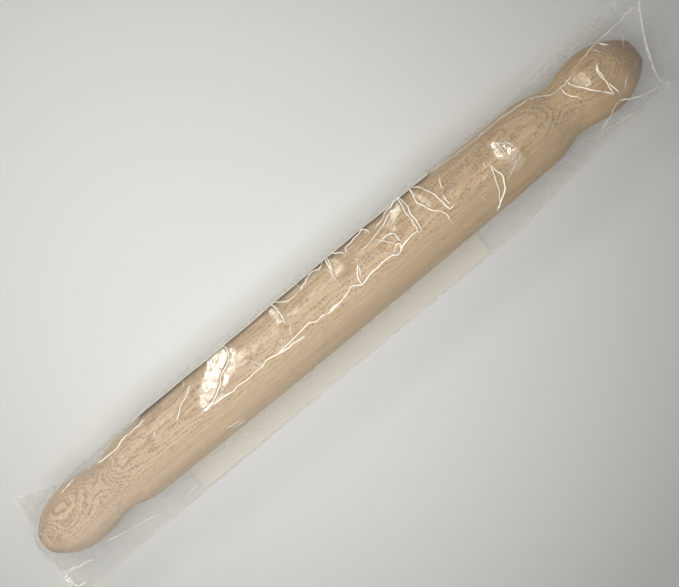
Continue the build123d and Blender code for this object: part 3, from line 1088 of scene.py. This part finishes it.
def film():
    """Clear film: nearly unseen face on, glossy, with a random milky haze, and white along its
    creases: partly whitened film, mostly painted highlights that glow.
    """
    material, tree, output = new_material("clear_film")
    crease = node(tree, "ShaderNodeAttribute", attribute_name="crease").outputs["Fac"]
    clean = node(tree, "ShaderNodeAttribute", attribute_name="drawn_flat").outputs["Fac"]
    place = node(tree, "ShaderNodeTexCoord").outputs["Object"]
    cloud = noise(tree, place, FILM_CLOUD_SCALE, 3.0)
    patches = noise(tree, place, FILM_PATCH_SCALE, 2.0)
    normal = crinkled(tree, clean)

    facing = node(tree, "ShaderNodeLayerWeight", {"Blend": 0.5, "Normal": normal}).outputs["Facing"]
    edge_on = maths(tree, "POWER", facing, 4.0)
    mirror = maths(tree, "MULTIPLY_ADD", edge_on, FILM_MIRROR_EDGE_ON, FILM_MIRROR)
    mirror = maths(tree, "MULTIPLY_ADD", clean, FILM_MIRROR_CLEAN, mirror)
    shadow_ray = node(tree, "ShaderNodeLightPath").outputs["Is Shadow Ray"]
    mirror = maths(tree, "MULTIPLY", mirror, maths(tree, "SUBTRACT", 1.0, shadow_ray))
    worn = eased(tree, cloud, CLOUD_SPAN, CLOUD_ROUGHNESSES)
    patch = eased(tree, patches, PATCH_SPAN, PATCH_ROUGHNESSES)
    scuff = node(tree, "ShaderNodeMix", {0: clean, 2: worn, 3: patch}).outputs[0]
    clear = node(tree, "ShaderNodeBsdfTransparent", {0: (*FILM_CLEAR, 1)})
    gloss = node(
        tree, "ShaderNodeBsdfGlossy", {0: (1, 1, 1, 1), "Roughness": scuff, "Normal": normal}
    )
    plain = node(tree, "ShaderNodeMixShader", {0: mirror, 1: clear.outputs[0], 2: gloss.outputs[0]})

    haze = maths(tree, "MULTIPLY", cloud, FILM_HAZE)
    # Painted highlight: the crease attribute makes the film white, warm and glowing along its
    # lines.
    milk_and_glint = maths(tree, "MULTIPLY_ADD", crease, CREASE_GLINT_GAIN, haze, clamp=True)
    milk_and_glint = maths(tree, "MINIMUM", milk_and_glint, MILK_AND_GLINT_MOST)
    milk_and_glint_surface = node(
        tree,
        "ShaderNodeBsdfPrincipled",
        {
            "Base Color": mix_colour(tree, crease, FILM_MILK, CREASE_WHITE_GLINT_TONE),
            "Roughness": FILM_MILK_ROUGHNESS,
            "Normal": normal,
            "Emission Color": mix_colour(
                tree, maths(tree, "POWER", crease, 1.4), (0.0, 0.0, 0.0), CREASE_GLINT
            ),
            "Emission Strength": CREASE_GLINT_STRENGTH,
        },
    )
    shown = node(tree, "ShaderNodeMixShader", {0: milk_and_glint, 1: plain.outputs[0], 2: milk_and_glint_surface.outputs[0]})
    tree.links.new(shown.outputs[0], output.inputs[0])
    return material


bag_points, bag_faces, crease_white_glint, clean_share, fold_points = bag_mesh()
film_mesh = bpy.data.meshes.new("bag_film")
film_mesh.from_pydata((bag_points * MM).tolist(), [], bag_faces)
film_mesh.materials.append(film())
# The crease attribute carries the lines' white glints: partly whitened film, mostly painted
# highlight.
for name, values in (("crease", crease_white_glint), ("drawn_flat", clean_share)):
    marks = film_mesh.attributes.new(name, "FLOAT", "POINT")
    marks.data.foreach_set("value", values.astype(np.float32))
film_mesh.polygons.foreach_set("use_smooth", [True] * len(film_mesh.polygons))
for edge in film_mesh.edges:
    edge.use_edge_sharp = edge.vertices[0] in fold_points and edge.vertices[1] in fold_points
bag_film = bpy.data.objects.new("bag_film", film_mesh)
bpy.context.scene.collection.objects.link(bag_film)
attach(bag_film, "wrapper")
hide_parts("film_bag")


# The table: a plain pale top, with a painted pool of light. Its tone falls off away from the
# brightest place, as light does under one soft lamp, and far off it goes over into a glowing
# backdrop, a little brighter further off.
FLOOR_HALF = 12.0
FLOOR_DROP = 0.0002
FLOOR_TONE = (1.0, 1.0, 0.975)
FLOOR_BRIGHTEST = (-0.02, 0.0755, 0.0)
FLOOR_SHADE = 0.8276
FLOOR_SHADE_FALL = -3.58
FLOOR_SHADE_LEAST = 0.5
FLOOR_ROUGHNESS = 0.7
FLOOR_SPECULAR = 0.1
BACKDROP_TONE = (1.0, 1.0, 0.99)
BACKDROP_SPAN = (0.36, 0.52)
BACKDROP_LIT_SPAN = (0.36, 1.3)
BACKDROP_LIT = (0.4, 0.72)


def seen(tree):
    """1 for what the camera sees, straight, in gloss or through film, and 0 for lighting."""
    path = node(tree, "ShaderNodeLightPath").outputs
    straight_or_gloss = maths(tree, "MAXIMUM", path["Is Camera Ray"], path["Is Glossy Ray"])
    return maths(tree, "MAXIMUM", straight_or_gloss, path["Is Transmission Ray"])


def table_top():
    """Pale matt paint with a painted pool of light: its tone falls off slowly from one place."""
    material, tree, output = new_material("table_top")
    place = node(tree, "ShaderNodeTexCoord").outputs["Object"]
    away = node(
        tree, "ShaderNodeVectorMath", {0: place, 1: FLOOR_BRIGHTEST}, operation="DISTANCE"
    ).outputs["Value"]
    # Painted light: the tone is brightest at one place and falls off with the square of the
    # distance from it.
    away_squared = maths(tree, "POWER", away, 2.0)
    shade = maths(tree, "MULTIPLY_ADD", away_squared, FLOOR_SHADE_FALL, FLOOR_SHADE)
    shade = maths(tree, "MAXIMUM", shade, FLOOR_SHADE_LEAST)
    surface = node(
        tree,
        "ShaderNodeBsdfPrincipled",
        {
            "Base Color": tinted(tree, 1.0, FLOOR_TONE, shade),
            "Roughness": FLOOR_ROUGHNESS,
            "Specular IOR Level": FLOOR_SPECULAR,
        },
    )
    far_off = eased(tree, away, BACKDROP_SPAN, interpolation_type="SMOOTHSTEP")
    lit = eased(tree, away, BACKDROP_LIT_SPAN, BACKDROP_LIT)
    backdrop = node(tree, "ShaderNodeEmission", {0: (*BACKDROP_TONE, 1), 1: lit})
    share = maths(tree, "MULTIPLY", far_off, seen(tree))
    shown = node(
        tree, "ShaderNodeMixShader", {0: share, 1: surface.outputs[0], 2: backdrop.outputs[0]}
    )
    tree.links.new(shown.outputs[0], output.inputs[0])
    return material


floor_corners = ((-1, -1), (1, -1), (1, 1), (-1, 1))
floor_mesh = bpy.data.meshes.new("floor")
floor_mesh.from_pydata(
    [(x * FLOOR_HALF, y * FLOOR_HALF, -FLOOR_DROP) for x, y in floor_corners],
    [],
    [(0, 1, 2, 3)],
)
floor_mesh.materials.append(table_top())
floor = bpy.data.objects.new("floor", floor_mesh)
bpy.context.scene.collection.objects.link(floor)


# The light: a broad soft lamp and a narrow strip above the pin's half at the weld, a small warm
# window beyond the card, and a dim room.
ROOM_TONE = (1.0, 1.0, 0.99)
ROOM_LIGHT = 0.22
ROOM_SEEN = 0.5


def looking(place, back, side):
    """The matrix of something at a place, from where its back and its right side point."""
    right = (side - back * side.dot(back)).normalized()
    up = back.cross(right)
    return Matrix((
        (right.x, up.x, back.x, place[0]),
        (right.y, up.y, back.y, place[1]),
        (right.z, up.z, back.z, place[2]),
        (0, 0, 0, 1),
    ))


def lamp(name, place, target, sizes, power, colour=(1.0, 1.0, 1.0)):
    """A rectangular lamp turned to a target, which the camera itself doesn't see."""
    light = bpy.data.lights.new(name, "AREA")
    light.shape = "RECTANGLE"
    light.size, light.size_y = sizes
    light.energy = power
    light.color = colour
    made = bpy.data.objects.new(name, light)
    back = (Vector(place) - Vector(target)).normalized()
    made.matrix_world = looking(place, back, Vector((1, 0, 0)))
    made.visible_camera = False
    bpy.context.scene.collection.objects.link(made)
    return made


soft_lamp = lamp(
    "soft_lamp",
    place=(-0.12, -0.02, 0.48),
    target=(-0.12, -0.02, 0),
    sizes=(0.46, 0.46),
    power=1.75,
)
soft_lamp.visible_glossy = False
lamp("strip_lamp", place=(-0.09, 0, 0.8), target=(-0.09, 0, 0), sizes=(0.25, 0.02), power=0.25)
lamp(
    "window_lamp",
    place=(-0.16, 0.6, 0.5),
    target=(-0.05, 0, 0),
    sizes=(0.19, 0.1),
    power=0.8,
    colour=(1.0, 0.94, 0.8),
)

world = bpy.data.worlds.new("room")
world.use_nodes = True
room = world.node_tree.nodes["Background"]
room.inputs[0].default_value = (*ROOM_TONE, 1)
strength = maths(world.node_tree, "MULTIPLY_ADD", seen(world.node_tree), ROOM_SEEN, ROOM_LIGHT)
world.node_tree.links.new(strength, room.inputs[1])
bpy.context.scene.world = world


# The camera: nearly straight above the pin, tilted so that the open end is a little nearer.
CAMERA_LENS = 73.17
CAMERA_SENSOR = 36.0
CAMERA_NEAREST = 0.01
CAMERA_DISTANCE = 0.7174
CAMERA_TILT = radians(5.5)
CAMERA_TURN = radians(39.785)
CAMERA_TARGET = Vector((0.00596, 0.00148, 0.021))

camera_data = bpy.data.cameras.new("camera")
camera_data.lens = CAMERA_LENS
camera_data.sensor_width = CAMERA_SENSOR
camera_data.clip_start = CAMERA_NEAREST
camera = bpy.data.objects.new("camera", camera_data)
camera_back = Vector((sin(CAMERA_TILT), 0, cos(CAMERA_TILT)))
camera_side = Vector((cos(CAMERA_TURN), -sin(CAMERA_TURN), 0))
eye = CAMERA_TARGET + camera_back * CAMERA_DISTANCE
camera.matrix_world = looking(eye, camera_back, camera_side)
bpy.context.scene.collection.objects.link(camera)
bpy.context.scene.camera = camera
bpy.context.scene.view_settings.view_transform = "Standard"
